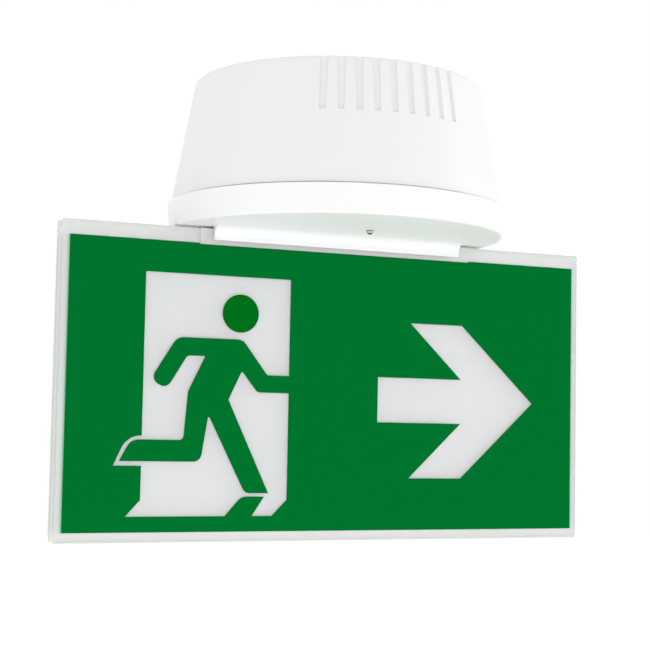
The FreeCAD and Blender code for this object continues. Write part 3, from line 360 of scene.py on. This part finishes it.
# %% Metals
def metal(name, colour, roughness, grain_mm, relief_mm, stretch=(1, 1, 1)):
    """Bare or plated metal whose crystals or die lines vary its tone and its gloss."""
    material, tree = new_material(name)
    place = add_node(tree, "ShaderNodeTexCoord").outputs["Object"]
    lay = add_node(tree, "ShaderNodeVectorMath", [place, stretch], operation="MULTIPLY")
    grain = add_node(tree, "ShaderNodeTexNoise", {"Vector": lay, "Scale": 1 / (grain_mm * MM), "Detail": 2.0})
    dark = [c * 0.85 for c in linear(colour)[:3]] + [1.0]
    tone = add_node(tree, "ShaderNodeMix", {
        "Factor": grain, MIX_FIRST: dark, MIX_SECOND: linear(colour)}, data_type="RGBA").outputs[MIX_RESULT]
    gloss = add_node(tree, "ShaderNodeMapRange", {
        "Value": grain, "From Min": NOISE_LOW, "From Max": NOISE_HIGH,
        "To Min": roughness - 0.06, "To Max": roughness + 0.06})
    normal = add_node(tree, "ShaderNodeBump", {"Height": grain, "Distance": relief_mm * MM, "Strength": 1.0})
    surface = add_node(tree, "ShaderNodeBsdfPrincipled", {
        "Base Color": tone, "Metallic": 1.0, "Roughness": gloss, "Normal": normal})
    add_node(tree, "ShaderNodeOutputMaterial", [surface])
    return material


# Galvanised steel: dull silver with a spangle of a few millimetres.
galvanised_steel = metal("galvanised steel strip, stamped", "C6CACC", 0.42, 4.0, 0.01)
# Bright zinc plating on small screws and nuts.
zinc_plating = metal("bright zinc plating on steel", "CBD1D8", 0.28, 0.6, 0.004)
# Extruded aluminium: soft silver, with lines along the bar.
extruded_aluminium = metal("aluminium, extruded", "D7D9DB", 0.34, 0.4, 0.004, (0.02, 1, 1))
print("metals made")

# %% [markdown]
# ## Circuit boards
# A board is glass-epoxy laminate under a glossy solder mask, and the copper tracks under
# the mask show as paler strips.  Square Voronoi cells give edges that run at right angles,
# as tracks do, and the same cells raise the mask a little.

# %% Boards
TRACK_EDGE = 0.42           # share of a cell, past which the copper lies


def circuit_board(name, mask, track, pitch_mm):
    """Laminate whose tracks lie pitch_mm apart under a glossy mask."""
    material, tree = new_material(name)
    place = add_node(tree, "ShaderNodeTexCoord").outputs["Object"]
    cells = add_node(tree, "ShaderNodeTexVoronoi", {"Vector": place, "Scale": 1 / (pitch_mm * MM)},
                     feature="F1", distance="CHEBYCHEV").outputs["Distance"]
    copper = add_node(tree, MATH, [cells, TRACK_EDGE], operation="GREATER_THAN")
    tone = add_node(tree, "ShaderNodeMix", {
        "Factor": copper, MIX_FIRST: linear(mask), MIX_SECOND: linear(track)},
        data_type="RGBA").outputs[MIX_RESULT]
    blotches = add_node(tree, "ShaderNodeTexNoise", {"Vector": place, "Scale": 1 / (6 * MM), "Detail": 3.0})
    gloss = add_node(tree, "ShaderNodeMapRange", {
        "Value": blotches, "From Min": NOISE_LOW, "From Max": NOISE_HIGH, "To Min": 0.22, "To Max": 0.32})
    raised = add_node(tree, "ShaderNodeBump", {"Height": copper, "Distance": 0.03 * MM, "Strength": 1.0})
    laminate = add_node(tree, "ShaderNodeBsdfPrincipled", {
        "Base Color": tone, "Roughness": gloss, "Normal": raised, "IOR": 1.55})
    add_node(tree, "ShaderNodeOutputMaterial", [laminate])
    return material


green_board = circuit_board("glass-epoxy board, green mask", "145236", "1F7A4C", 5.0)
white_board = circuit_board("aluminium-backed board, white mask", "EDEDE8", "F7F7F3", 6.0)
print("boards made")

# %% [markdown]
# ## What the boards carry
# These parts each have two materials in one moulding or sleeve: ferrite and tape, sleeve
# and bare metal, frame and phosphor.  So one recipe picks between two by the place on the
# piece, or by which way the face looks, and a small function for each part says where.

# %% Where the second material lies
LED_PITCH, PHOSPHOR_RADIUS = 10.4 * MM, 1.0 * MM
BARE_CORE, BARE_TUBE = 11.05 * MM, 4.9 * MM     # from the middle to the tape and to the clips
X_AXIS, Y_AXIS = 0, 1


def farther_than(piece, axis, reach):
    """Chooser: 1 where a piece is farther than reach from its own middle along an axis."""
    near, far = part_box(piece)
    middle = (near[axis] + far[axis]) / 2

    def choose(tree, place):
        along = add_node(tree, "ShaderNodeSeparateXYZ", [place]).outputs[axis]
        offset = add_node(tree, MATH, [along, middle], operation="SUBTRACT")
        away = add_node(tree, MATH, [offset], operation="ABSOLUTE")
        return add_node(tree, MATH, [away, reach], operation="GREATER_THAN")
    return choose


def facing_down(tree, place):
    """Chooser: 1 on faces that look down."""
    normal = add_node(tree, "ShaderNodeNewGeometry").outputs["True Normal"]
    upward = add_node(tree, "ShaderNodeSeparateXYZ", [normal]).outputs[2]
    return add_node(tree, MATH, [upward, -0.9], operation="LESS_THAN")


def on_phosphor(tree, place):
    """Chooser: 1 on the round window in the middle of each lamp's lower face."""
    axes = add_node(tree, "ShaderNodeSeparateXYZ", [place]).outputs
    shifted = add_node(tree, MATH, [axes[0], LED_PITCH / 2], operation="SUBTRACT")
    x = add_node(tree, MATH, [shifted, LED_PITCH / 2, -LED_PITCH / 2], operation="WRAP")
    flat = add_node(tree, "ShaderNodeCombineXYZ", [x, axes[1]])
    away = add_node(tree, "ShaderNodeVectorMath", [flat], operation="LENGTH").outputs["Value"]
    within = add_node(tree, MATH, [away, PHOSPHOR_RADIUS], operation="LESS_THAN")
    return add_node(tree, MATH, [facing_down(tree, place), within], operation="MULTIPLY")


print("lamps stand", round(LED_PITCH / MM, 1), "mm apart")

# %% Control gear
SLEEVE_GRAIN_MM = 0.6


def two_part(name, first, second, roughness, choose, metallic=0.0):
    """Two materials on one piece; choose gives 1 where the second one lies."""
    material, tree = new_material(name)
    place = add_node(tree, "ShaderNodeTexCoord").outputs["Object"]
    share = choose(tree, place)
    grain = add_node(tree, "ShaderNodeTexNoise", {
        "Vector": place, "Scale": 1 / (SLEEVE_GRAIN_MM * MM), "Detail": 3.0})
    tone = add_node(tree, "ShaderNodeMix", {
        "Factor": share, MIX_FIRST: linear(first), MIX_SECOND: linear(second)},
        data_type="RGBA").outputs[MIX_RESULT]
    gloss = add_node(tree, "ShaderNodeMapRange", {
        "Value": grain, "From Min": NOISE_LOW, "From Max": NOISE_HIGH,
        "To Min": roughness - 0.05, "To Max": roughness + 0.05})
    normal = add_node(tree, "ShaderNodeBump", {"Height": grain, "Distance": 0.01 * MM, "Strength": 1.0})
    surface = add_node(tree, "ShaderNodeBsdfPrincipled", {
        "Base Color": tone, "Metallic": add_node(tree, MATH, [share, metallic], operation="MULTIPLY"),
        "Roughness": gloss, "Normal": normal})
    add_node(tree, "ShaderNodeOutputMaterial", [surface])
    return material


# Ferrite core in black, its winding wrapped in yellow polyester tape.
ferrite_and_tape = two_part("ferrite core, yellow taped winding", "2B2B2D", "DDAE2B", 0.5,
                            farther_than("transformer", Y_AXIS, BARE_CORE))
# Aluminium can in a dark sleeve, bare at its vented end.
sleeved_can = two_part("aluminium can in a sleeve", "20262E", "CFD2D4", 0.35, facing_down, 1.0)
# Ceramic fuse tube between nickel-plated clips.
ceramic_fuse = two_part("ceramic fuse in nickel clips", "EEECE6", "C9C6BE", 0.3,
                        farther_than("fuse", X_AXIS, BARE_TUBE), 1.0)
# Nickel cells in blue shrink sleeve: glossy, with slack wrinkles a few millimetres apart.
shrink_sleeve = moulded("blue PVC shrink sleeve", "2A5FA3", 0.28, 5.0, 0.25, 1.54)
# Lamp package: white moulded frame with a yellow phosphor window.
lamp_package = two_part("white LED package with phosphor", "F2F2EE", "EBCB3F", 0.35, on_phosphor)
print("control gear made")

# %% [markdown]
# ## The grooved housing
# The housing is one injection moulding, turned in its main form: a slanted wall with an
# inner ring at each end and a spigot that enters the cover.  The tool that shapes it is a
# turned core and cavity, with nine ribs set into the cavity for the grooves that run down
# from the ceiling edge.  The nodes work the same way.  The wall's section is a row of
# points.  One slice of it is swept over one pitch with a groove down its middle, copied
# side by side nine times, and a plain sweep of the same section closes the ring.  Columns
# crowd together at the groove's sides, so its corners get the small rounds that catch
# light on a real moulding, and the groove narrows downwards for draft.

# %% The section of the housing's wall
low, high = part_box("housing_shell")
BASE_RADIUS, SPIGOT_FOOT = high.x / MM, low.z / MM
TOP_RADIUS, WALL, EDGE_ROUND, FOOT_ROUND = 79.2, 2.5, 1.2, 0.4
WALL_FOOT, SEAM_LEVEL = -66.2, -66.8
FLANGE_TOP, FLANGE_FOOT, FLANGE_RADIUS = -6.0, -8.5, 66.0
LEDGE_TOP, LEDGE_RADIUS = -64.3, 84.0
SPIGOT_RADIUS, SPIGOT_WALL = 89.62, 2.0
GROOVE_COUNT, GROOVE_PITCH, GROUP_ANGLE = 9, math.radians(6.4), math.radians(-2.7)
GROOVE_TOP_WIDTH, GROOVE_FOOT_WIDTH, GROOVE_DEPTH, GROOVE_LENGTH = 4.4, 3.4, 1.4, 28.4
GROOVE_END_ROUND = 0.5
WALL_SLOPE = (BASE_RADIUS - TOP_RADIUS) / -WALL_FOOT


def wall_radius(height):
    return TOP_RADIUS - WALL_SLOPE * height


def rounded_corner(before, corner, after, radius, steps=5):
    """Points of an arc of a radius in the corner between two neighbours."""
    here, back, ahead = Vector(corner), Vector(before), Vector(after)
    back, ahead = (back - here).normalized(), (ahead - here).normalized()
    half_angle = back.angle(ahead) / 2
    centre = here + (back + ahead).normalized() * radius / math.sin(half_angle)
    start = here + back * radius / math.tan(half_angle)
    turn = math.pi - 2 * half_angle
    arm = start - centre
    side = -1 if back.cross(ahead) > 0 else 1
    return [centre + Matrix.Rotation(side * turn * step / steps, 2) @ arm for step in range(steps + 1)]


def even_rows(first, last, count):
    """Places down the outer wall, without its ends."""
    heights = [first + (last - first) * step / count for step in range(1, count)]
    return [(wall_radius(height), height) for height in heights]


top_corner = rounded_corner((TOP_RADIUS - WALL, 0), (TOP_RADIUS, 0), (BASE_RADIUS, WALL_FOOT), EDGE_ROUND)
foot_corner = rounded_corner(
    (TOP_RADIUS, 0), (BASE_RADIUS, WALL_FOOT), (SPIGOT_RADIUS, WALL_FOOT), FOOT_ROUND)
end_start, end_stop = -GROOVE_LENGTH + GROOVE_END_ROUND, -GROOVE_LENGTH
section = (
    top_corner + even_rows(-2.0, end_start, 10) + even_rows(end_start + 0.1, end_stop - 0.1, 7)
    + even_rows(end_stop - 0.1, WALL_FOOT + 1, 4) + foot_corner
    + [(SPIGOT_RADIUS, WALL_FOOT), (SPIGOT_RADIUS, SPIGOT_FOOT), (SPIGOT_RADIUS - SPIGOT_WALL, SPIGOT_FOOT),
       (SPIGOT_RADIUS - SPIGOT_WALL, SEAM_LEVEL), (LEDGE_RADIUS, SEAM_LEVEL), (LEDGE_RADIUS, LEDGE_TOP),
       (wall_radius(LEDGE_TOP) - WALL, LEDGE_TOP), (wall_radius(FLANGE_FOOT) - WALL, FLANGE_FOOT),
       (FLANGE_RADIUS, FLANGE_FOOT), (FLANGE_RADIUS, FLANGE_TOP),
       (wall_radius(FLANGE_TOP) - WALL, FLANGE_TOP), (TOP_RADIUS - WALL, 0)])
print(len(section), "points in the wall's section")

# %% [markdown]
# A node group sweeps the section about Z.  Its sizes are named inputs, so that the group
# and the tree that uses it can share them.  Across a slice, the groove's side always lies
# at the same share of the columns, however wide the groove is at that height, and so the
# rounds at its sides get columns of their own.

# %% Where each column of a slice stands
SIDE_AT, SIDE_SHARE = 0.30, 0.05       # groove's side and the run of its rounds, as shares of the slice


def new_tree(name, inputs):
    """A geometry node tree with named inputs, and their sockets by name."""
    tree = bpy.data.node_groups.new(name, "GeometryNodeTree")
    for label, kind, value in inputs:
        socket = tree.interface.new_socket(label, in_out="INPUT", socket_type="NodeSocket" + kind)
        if value is not None:
            socket.default_value = value
    tree.interface.new_socket("Geometry", in_out="OUTPUT", socket_type="NodeSocketGeometry")
    return tree, tree.nodes.new("NodeGroupInput").outputs


def column_angle(tree, given, share, away, radius, fall):
    """The angle of a column, crowded at the groove's sides or evenly spread."""
    top_width, foot_width = given["Groove Top Width"], given["Groove Foot Width"]
    narrowing = add_node(tree, MATH, [top_width, foot_width], operation="SUBTRACT")
    fall = add_node(tree, MATH, [fall, -1], operation="MAXIMUM")
    width = add_node(tree, MATH, [fall, narrowing, top_width], operation="MULTIPLY_ADD")
    half_width = add_node(tree, MATH, [width, 0.5], operation="MULTIPLY")
    half_angle = add_node(tree, MATH, [half_width, radius], operation="DIVIDE")
    to_side = add_node(tree, MATH, [away, SIDE_AT], operation="DIVIDE")
    inside = add_node(tree, MATH, [to_side, 1], operation="MINIMUM")
    within = add_node(tree, MATH, [inside, half_angle], operation="MULTIPLY")
    half_sweep = add_node(tree, MATH, [given["Sweep"], 0.5], operation="MULTIPLY")
    land = add_node(tree, MATH, [half_sweep, half_angle], operation="SUBTRACT")
    over = add_node(tree, MATH, [away, SIDE_AT], operation="SUBTRACT")
    past = add_node(tree, MATH, [over, 0.5 - SIDE_AT], operation="DIVIDE")
    outside = add_node(tree, MATH, [past, 0], operation="MAXIMUM")
    beyond = add_node(tree, MATH, [outside, land], operation="MULTIPLY")
    reach = add_node(tree, MATH, [within, beyond], operation="ADD")
    side = add_node(tree, MATH, [share], operation="SIGN")
    crowded = add_node(tree, MATH, [side, reach], operation="MULTIPLY")
    even = add_node(tree, MATH, [share, given["Sweep"]], operation="MULTIPLY")
    return add_node(tree, "ShaderNodeMix", {0: given["Grooved"], 2: even, 3: crowded})


print("the groove's side lies at", SIDE_AT, "of a slice")

# %% [markdown]
# The groove is a floor line that lies under the wall's own line.  Where a point of the
# section stands out past the floor, it is drawn in to it, as a cutter would leave it, and
# everything inside the wall stays where it is.  Two smooth steps, one across the slice and
# one up from the groove's lower end, fade the depth and make the small rounds.

# %% How deep each point is drawn in
def drawn_in(tree, given, away, radius, height):
    """The radius of a point, once the groove has been cut."""
    across = add_node(tree, "ShaderNodeMapRange", {
        "Value": away, "From Min": SIDE_AT - SIDE_SHARE, "From Max": SIDE_AT, "To Min": 1.0, "To Max": 0.0},
        interpolation_type="SMOOTHSTEP")
    above_end = add_node(tree, MATH, [height, given["Groove Length"]], operation="ADD")
    along = add_node(tree, "ShaderNodeMapRange", {
        "Value": above_end, "From Min": 0.0, "From Max": GROOVE_END_ROUND * MM},
        interpolation_type="SMOOTHSTEP")
    both = add_node(tree, MATH, [across, along], operation="MULTIPLY")
    shape = add_node(tree, MATH, [both, given["Grooved"]], operation="MULTIPLY")
    lean = add_node(tree, MATH, [given["Slope"], height], operation="MULTIPLY")
    wall = add_node(tree, MATH, [given["Top Radius"], lean], operation="SUBTRACT")
    depth = add_node(tree, MATH, [shape, given["Groove Depth"]], operation="MULTIPLY")
    floor_line = add_node(tree, MATH, [wall, depth], operation="SUBTRACT")
    return add_node(tree, MATH, [radius, floor_line], operation="MINIMUM")


print("the groove's lower end is rounded over", GROOVE_END_ROUND, "mm")

# %% [markdown]
# A grid has one column for each step round the axis and one row for each point of the
# section, plus one that closes it.  Every grid point looks up its row's radius and height
# by its index, then takes its place on the circle.

# %% Node group that turns the section
WALL_INPUTS = [("Top Radius", "Float", TOP_RADIUS * MM), ("Slope", "Float", WALL_SLOPE),
               ("Groove Top Width", "Float", GROOVE_TOP_WIDTH * MM),
               ("Groove Foot Width", "Float", GROOVE_FOOT_WIDTH * MM),
               ("Groove Length", "Float", GROOVE_LENGTH * MM), ("Groove Depth", "Float", GROOVE_DEPTH * MM)]


def turned_sheet():
    """The section swept about Z, with a groove down its middle where Grooved is 1."""
    tree, given = new_tree("turned sheet", [
        ("Section", "Geometry", None), ("Columns", "Int", 60), ("Sweep", "Float", 1.0),
        ("Grooved", "Float", 0.0)] + WALL_INPUTS)
    count = add_node(tree, "GeometryNodeAttributeDomainSize", [given["Section"]]).outputs["Point Count"]
    rows = add_node(tree, MATH, [count, 1], operation="ADD")
    lines = add_node(tree, MATH, [given["Columns"], 1], operation="ADD")
    grid = add_node(tree, "GeometryNodeMeshGrid", {"Vertices X": lines, "Vertices Y": rows}).outputs["Mesh"]
    index = add_node(tree, "GeometryNodeInputIndex")
    grid_row = add_node(tree, MATH, [index, rows], operation="MODULO")
    row = add_node(tree, MATH, [grid_row, count], operation="MODULO")
    part_column = add_node(tree, MATH, [index, rows], operation="DIVIDE")
    column = add_node(tree, MATH, [part_column], operation="FLOOR")
    looked_up = add_node(tree, "GeometryNodeSampleIndex", {
        0: given["Section"], 1: add_node(tree, "GeometryNodeInputPosition"), "Index": row},
        data_type="FLOAT_VECTOR")
    radius, _, height = add_node(tree, "ShaderNodeSeparateXYZ", [looked_up]).outputs

    crossed = add_node(tree, MATH, [column, given["Columns"]], operation="DIVIDE")
    share = add_node(tree, MATH, [crossed, 0.5], operation="SUBTRACT")
    away = add_node(tree, MATH, [share], operation="ABSOLUTE")
    fall = add_node(tree, MATH, [height, given["Groove Length"]], operation="DIVIDE")
    angle = column_angle(tree, given, share, away, radius, fall)
    reach = drawn_in(tree, given, away, radius, height)
    sine = add_node(tree, MATH, [angle], operation="SINE")
    cosine = add_node(tree, MATH, [angle], operation="COSINE")
    x = add_node(tree, MATH, [reach, sine], operation="MULTIPLY")
    back = add_node(tree, MATH, [reach, cosine], operation="MULTIPLY")
    y = add_node(tree, MATH, [back, -1], operation="MULTIPLY")
    place = add_node(tree, "ShaderNodeCombineXYZ", [x, y, height])
    moved = add_node(tree, "GeometryNodeSetPosition", {"Geometry": grid, "Position": place})
    add_node(tree, "NodeGroupOutput", [moved])
    return tree


sheet_group = turned_sheet()
print("the sheet's group has", len(sheet_group.nodes), "nodes")

# %% [markdown]
# The second tree sets the grooved slices side by side, closes the ring with a plain
# sheet, and adds the three bosses that the gear tray is screwed to.

# %% Node tree of the whole housing
BOSS_RADIUS, BOSS_CIRCLE, BOSS_FOOT = 4.0, 71.0, -20.0
BOSS_FIRST_ANGLE = math.radians(30)
MERGE_REACH = 0.005


def housing_tree(material):
    """Grooved slices, the plain rest of the ring and the bosses, joined and dressed."""
    tree, given = new_tree("grooved housing", [
        ("Section", "Geometry", None), ("Grooves", "Int", GROOVE_COUNT), ("Pitch", "Float", GROOVE_PITCH),
        ("Group Angle", "Float", GROUP_ANGLE), ("Slice Columns", "Int", 50), ("Plain Columns", "Int", 150),
        ("Bosses", "Int", 3)] + WALL_INPUTS)
    shared = {label: given[label] for label in ["Section"] + [label for label, _, _ in WALL_INPUTS]}

    index = add_node(tree, "GeometryNodeInputIndex")
    last = add_node(tree, MATH, [given["Grooves"], 1], operation="SUBTRACT")
    middle = add_node(tree, MATH, [last, 0.5], operation="MULTIPLY")
    steps = add_node(tree, MATH, [index, middle], operation="SUBTRACT")
    slice_angle = add_node(
        tree, MATH, [steps, given["Pitch"], given["Group Angle"]], operation="MULTIPLY_ADD")
    grooved = add_node(tree, "GeometryNodeGroup", shared | {
        "Columns": given["Slice Columns"], "Sweep": given["Pitch"], "Grooved": 1.0}, node_tree=sheet_group)
    slices = add_node(tree, "GeometryNodeInstanceOnPoints", {
        "Points": add_node(tree, "GeometryNodePoints", {"Count": given["Grooves"]}), "Instance": grooved,
        "Rotation": add_node(tree, "ShaderNodeCombineXYZ", {2: slice_angle})})

    taken = add_node(tree, MATH, [given["Grooves"], given["Pitch"]], operation="MULTIPLY")
    rest = add_node(tree, MATH, [2 * math.pi, taken], operation="SUBTRACT")
    opposite = add_node(tree, MATH, [given["Group Angle"], math.pi], operation="ADD")
    ungrooved = add_node(tree, "GeometryNodeGroup", shared | {
        "Columns": given["Plain Columns"], "Sweep": rest, "Grooved": 0.0}, node_tree=sheet_group)
    plain = add_node(tree, "GeometryNodeTransform", {
        "Geometry": ungrooved, "Rotation": add_node(tree, "ShaderNodeCombineXYZ", {2: opposite})})

    boss = add_node(tree, "GeometryNodeMeshCylinder", {
        "Vertices": 32, "Radius": BOSS_RADIUS * MM, "Depth": (FLANGE_FOOT - BOSS_FOOT) * MM})
    circle = add_node(tree, "GeometryNodeMeshCircle", {
        "Vertices": given["Bosses"], "Radius": BOSS_CIRCLE * MM})
    placed = add_node(tree, "GeometryNodeTransform", {
        "Geometry": circle, "Translation": (0, 0, (FLANGE_FOOT + BOSS_FOOT) / 2 * MM),
        "Rotation": (0, 0, BOSS_FIRST_ANGLE)})
    bosses = add_node(tree, "GeometryNodeInstanceOnPoints", {"Points": placed, "Instance": boss})

    join = add_node(tree, "GeometryNodeJoinGeometry")
    for part in (bosses, plain, slices):
        tree.links.new(part.outputs[0], join.inputs[0])
    real = add_node(tree, "GeometryNodeRealizeInstances", [join])
    merged = add_node(tree, "GeometryNodeMergeByDistance", {"Geometry": real, "Distance": MERGE_REACH * MM})
    dressed = add_node(tree, "GeometryNodeSetMaterial", {"Geometry": merged, "Material": material})
    add_node(tree, "NodeGroupOutput", [dressed])
    return tree


section_mesh = bpy.data.meshes.new("wall_section")
section_mesh.from_pydata([(radius * MM, 0, height * MM) for radius, height in section], [], [])
housing = bpy.data.objects.new("grooved_housing", section_mesh)
bpy.context.collection.objects.link(housing)
tree = housing_tree(white_abs)
modifier = housing.modifiers.new("turn and groove", "NODES")
modifier.node_group = tree
named = {item.name: item.identifier for item in tree.interface.items_tree if item.in_out == "INPUT"}
modifier[named["Grooves"]] = GROOVE_COUNT
modifier[named["Pitch"]] = GROOVE_PITCH
modifier[named["Group Angle"]] = GROUP_ANGLE
print("the housing's tree has", len(tree.nodes), "nodes")

# %% [markdown]
# The export needs a plain mesh, so the evaluated result is copied out and the modifier is
# removed.  The grid's faces may point either way after a sweep, so the normals are set to
# point outwards, and the count of open edges shows whether the shell is closed.

# %% The housing as a plain mesh
SHARP_ANGLE = math.radians(35)         # a bend past this keeps its edge
depsgraph = bpy.context.evaluated_depsgraph_get()
mesh = bpy.data.meshes.new_from_object(housing.evaluated_get(depsgraph))
housing.modifiers.clear()
housing.data = mesh
shell = bmesh.new()
shell.from_mesh(mesh)
bmesh.ops.recalc_face_normals(shell, faces=shell.faces)
open_edges = sum(1 for edge in shell.edges if len(edge.link_faces) != 2)
volume = shell.calc_volume(signed=True)
if volume < 0:
    bmesh.ops.reverse_faces(shell, faces=shell.faces)
shell.to_mesh(mesh)
shell.free()
mesh.shade_smooth()
mesh.set_sharp_from_angle(angle=SHARP_ANGLE)
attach(housing, "root")
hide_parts("housing_shell")
print("housing:", len(mesh.polygons), "faces,", open_edges, "open edges,", round(abs(volume) * 1e6, 2), "cm3")

# %% [markdown]
# ## Dressing the pieces
# Each of the other pieces keeps the CAD model's own mesh and only needs its finish, so one
# table pairs names with materials.  The white tray is the same plastic as the housing.

# %% Dress every piece
FINISHES = {
    "mounting_plate": galvanised_steel, "cable_grommet": black_rubber,
    "terminal_block": cream_nylon, "terminal_screws": zinc_plating,
    "housing_shell": white_abs, "housing_screws": zinc_plating, "lower_cover": white_polycarbonate,
    "gear_tray": white_abs, "tray_screws": zinc_plating,
    "control_board": green_board, "board_screws": zinc_plating, "transformer": ferrite_and_tape,
    "capacitors": sleeved_can, "board_connectors": white_nylon, "fuse": ceramic_fuse,
    "battery_pack": shrink_sleeve, "battery_straps": black_nylon,
    "led_rail": extruded_aluminium, "rail_screws": zinc_plating, "led_board": white_board,
    "led_chips": lamp_package, "status_led": clear_epoxy, "status_holder": black_nylon,
    "indicator_board": green_board, "light_guide": guide_acrylic, "edge_tape": white_tape,
    "front_diffuser": opal_sheet, "back_diffuser": opal_sheet,
    "front_legend": green_film, "back_legend": green_film,
    "front_cover": clear_acrylic, "back_cover": clear_acrylic,
    "blade_screws": zinc_plating, "blade_nuts": zinc_plating,
}
for name, material in FINISHES.items():
    for slot in nodes[name].material_slots:
        slot.material = material
print("dressed", len(FINISHES), "of", len(nodes))
